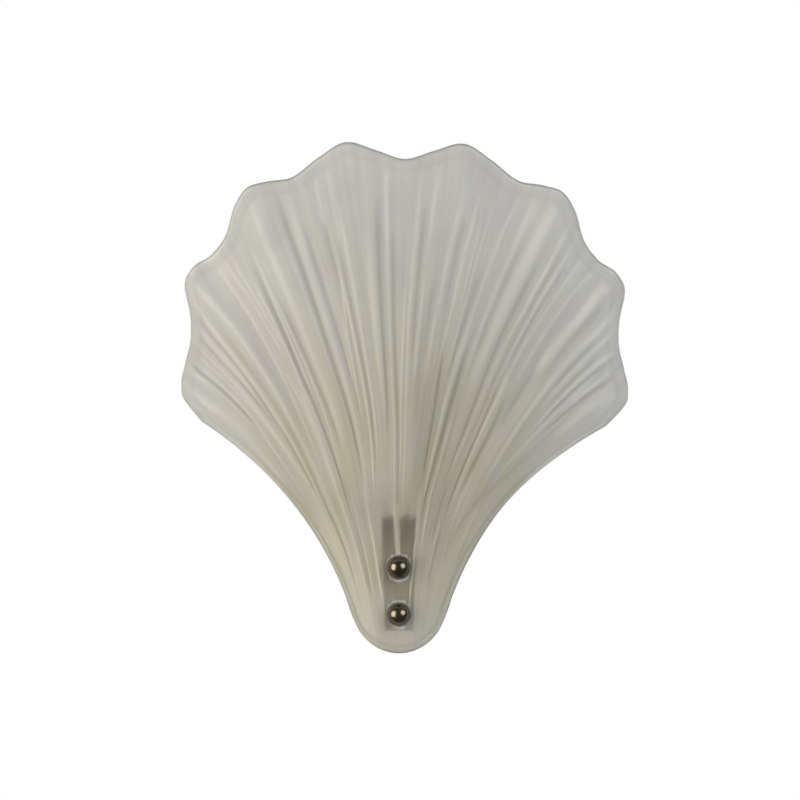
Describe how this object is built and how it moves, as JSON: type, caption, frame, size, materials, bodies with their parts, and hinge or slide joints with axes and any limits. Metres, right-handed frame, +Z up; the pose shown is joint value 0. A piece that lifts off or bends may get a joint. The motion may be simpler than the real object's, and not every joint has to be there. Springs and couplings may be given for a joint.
{
  "type": "shell wall sconce",
  "caption": "Wall light with a ribbed frosted glass scallop shell, held by ball nuts to a strap in front of an upright tubular lamp.",
  "frame": {"origin": "on the wall, halfway between the two wall screws", "axes": "+Y into the wall, so the room is towards -Y; +Z up; +X to the right as seen from the room"},
  "size_m": [0.2648, 0.1283, 0.3001],
  "materials": {
    "frosted_glass": "frosted, ribbed, fire-polished at the rim",
    "plate_enamel": "satin enamel",
    "bracket_steel": "satin",
    "rivet_steel": "satin",
    "dark_nickel": "polished dark nickel",
    "zinc_steel": "zinc plated",
    "washer_clear": "clear soft plastic",
    "washer_soft": "soft, matt",
    "holder_plastic": "satin white",
    "holder_ceramic": "unglazed",
    "contact_brass": "satin",
    "bulb_glass": "clear",
    "bulb_cap_metal": "satin",
    "bulb_insulator_glass": "black glass",
    "solder": "dull",
    "filament_metal": "drawn wire",
    "block_nylon": "matt",
    "lead_live": "brown sheath",
    "lead_neutral": "blue sheath",
    "lead_earth": "green and yellow sheath",
    "grommet_rubber": "matt black"
  },
  "bodies": {
    "root": {"glass_shell": "frosted_glass", "wall_plate": "plate_enamel", "arm_bracket": "bracket_steel", "bracket_rivets": "rivet_steel", "lower_stud": "zinc_steel", "upper_stud": "zinc_steel", "inner_washers": "washer_soft", "glass_sleeves": "washer_soft", "lampholder_nipple": "zinc_steel", "nipple_washer": "zinc_steel", "nipple_nut": "zinc_steel", "lampholder_cap": "holder_plastic", "lampholder_core": "holder_ceramic", "core_terminal_screws": "contact_brass", "lampholder_skirt": "holder_plastic", "lampholder_liner": "contact_brass", "centre_contact": "contact_brass", "terminal_block": "block_nylon", "terminal_inserts": "contact_brass", "terminal_screws": "zinc_steel", "terminal_block_screw": "zinc_steel", "live_wire": "lead_live", "neutral_wire": "lead_neutral", "earth_wire": "lead_earth", "earth_tag": "contact_brass", "earth_star_washer": "zinc_steel", "earth_screw": "zinc_steel", "cable_grommet": "grommet_rubber"},
    "upper_washer": {"upper_outer_washer": "washer_clear"},
    "upper_nut": {"upper_ball_nut": "dark_nickel"},
    "lower_washer": {"lower_outer_washer": "washer_clear"},
    "lower_nut": {"lower_ball_nut": "dark_nickel"},
    "bulb_foot": {"bulb_tip": "solder", "bulb_insulator": "bulb_insulator_glass"},
    "bulb": {"bulb_screw_cap": "bulb_cap_metal", "bulb_envelope": "bulb_glass", "bulb_stem": "bulb_glass", "bulb_filament": "filament_metal"}
  },
  "joints": [
    {"name": "upper_washer_slide", "type": "slide", "parent": "root", "child": "upper_washer", "axis": [0, -1, 0], "range_m": [0, 0.006]},
    {"name": "upper_nut_turn", "type": "hinge", "parent": "upper_washer", "child": "upper_nut", "pos_m": [0, -0.054, -0.0602], "axis": [0, -1, 0], "range_deg": [0, 3085]},
    {"name": "lower_washer_slide", "type": "slide", "parent": "root", "child": "lower_washer", "axis": [0, -1, 0], "range_m": [0, 0.006]},
    {"name": "lower_nut_turn", "type": "hinge", "parent": "lower_washer", "child": "lower_nut", "pos_m": [0, -0.054, -0.0878], "axis": [0, -1, 0], "range_deg": [0, 3085]},
    {"name": "bulb_rise", "type": "slide", "parent": "root", "child": "bulb_foot", "axis": [0, 0, 1], "range_m": [0, 0.0099]},
    {"name": "bulb_turn", "type": "hinge", "parent": "bulb_foot", "child": "bulb", "pos_m": [0, -0.03, 0.02], "axis": [0, 0, 1], "range_deg": [0, 1260]}
  ],
  "couplings": [
    {"joint": "upper_washer_slide", "follows": "upper_nut_turn", "m_per_rad": 0.00011141},
    {"joint": "lower_washer_slide", "follows": "lower_nut_turn", "m_per_rad": 0.00011141},
    {"joint": "bulb_rise", "follows": "bulb_turn", "m_per_rad": 0.00044882}
  ]
}
